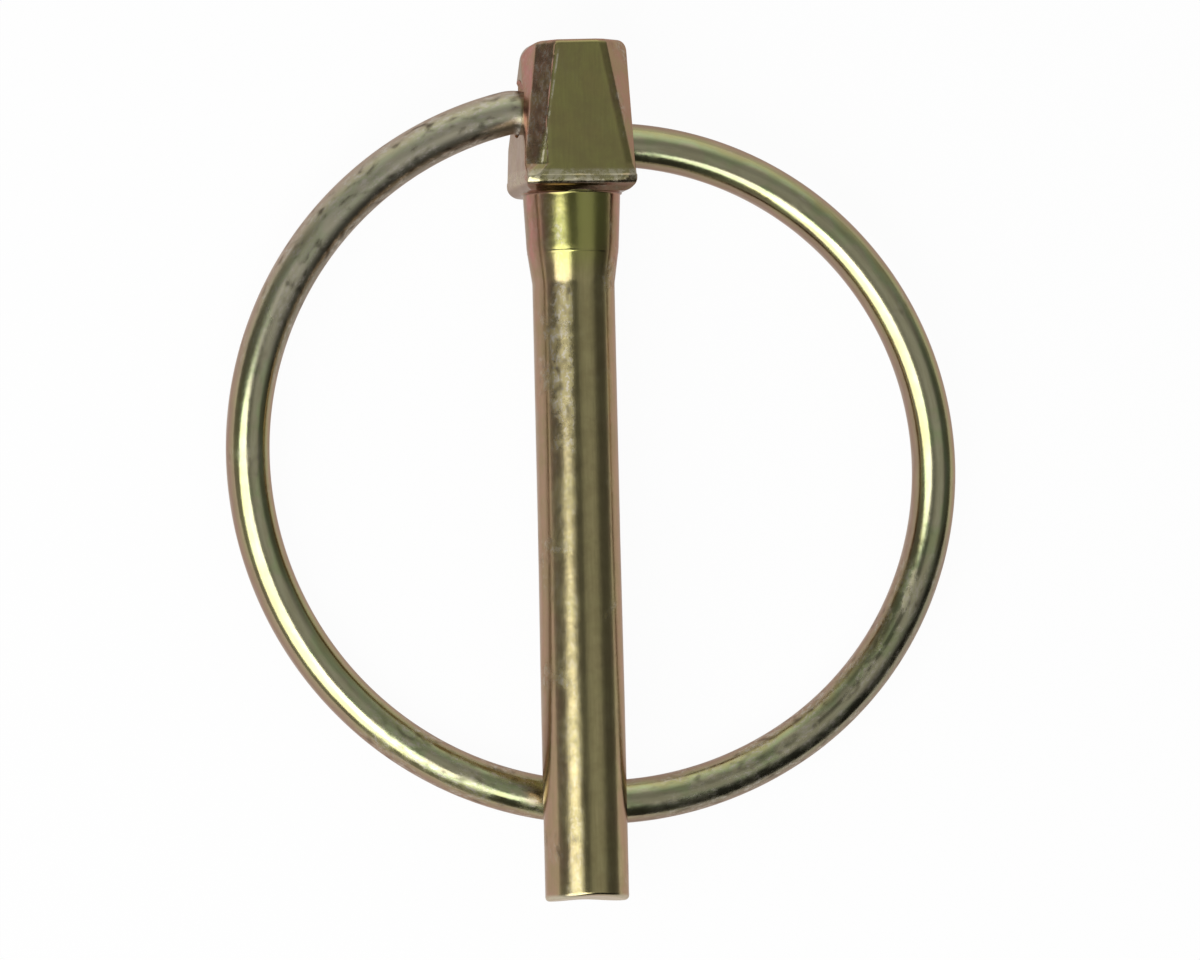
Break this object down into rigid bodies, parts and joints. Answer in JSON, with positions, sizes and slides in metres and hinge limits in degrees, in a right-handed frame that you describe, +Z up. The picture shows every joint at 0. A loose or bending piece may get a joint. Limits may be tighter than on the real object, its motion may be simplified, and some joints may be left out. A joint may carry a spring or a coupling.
{
  "type": "lynch pin",
  "caption": "Forged lynch pin with a bevelled head and a round spring-wire ring that swings over the head to hold it in its hole.",
  "frame": {"origin": "under the middle of the part's box as it lies at rest, on the ground", "axes": "+Y along the pin from tip to head, +Z up, +X to the right with the head away from the viewer"},
  "size_m": [0.0404, 0.0471, 0.0073],
  "materials": {
    "pin_plating": "yellow chromate over zinc, forged and slightly speckled",
    "wire_plating": "yellow chromate over zinc, smooth drawn wire"
  },
  "bodies": {
    "pin": {"forged_pin": "pin_plating"},
    "ring": {"spring_ring": "wire_plating"}
  },
  "joints": [
    {"name": "ring_swing", "type": "hinge", "parent": "pin", "child": "ring", "pos_m": [-0.00111, 0.01882, 0.0034], "axis": [0.9564, -0.2919, -0.0069], "range_deg": [0, 348]}
  ]
}
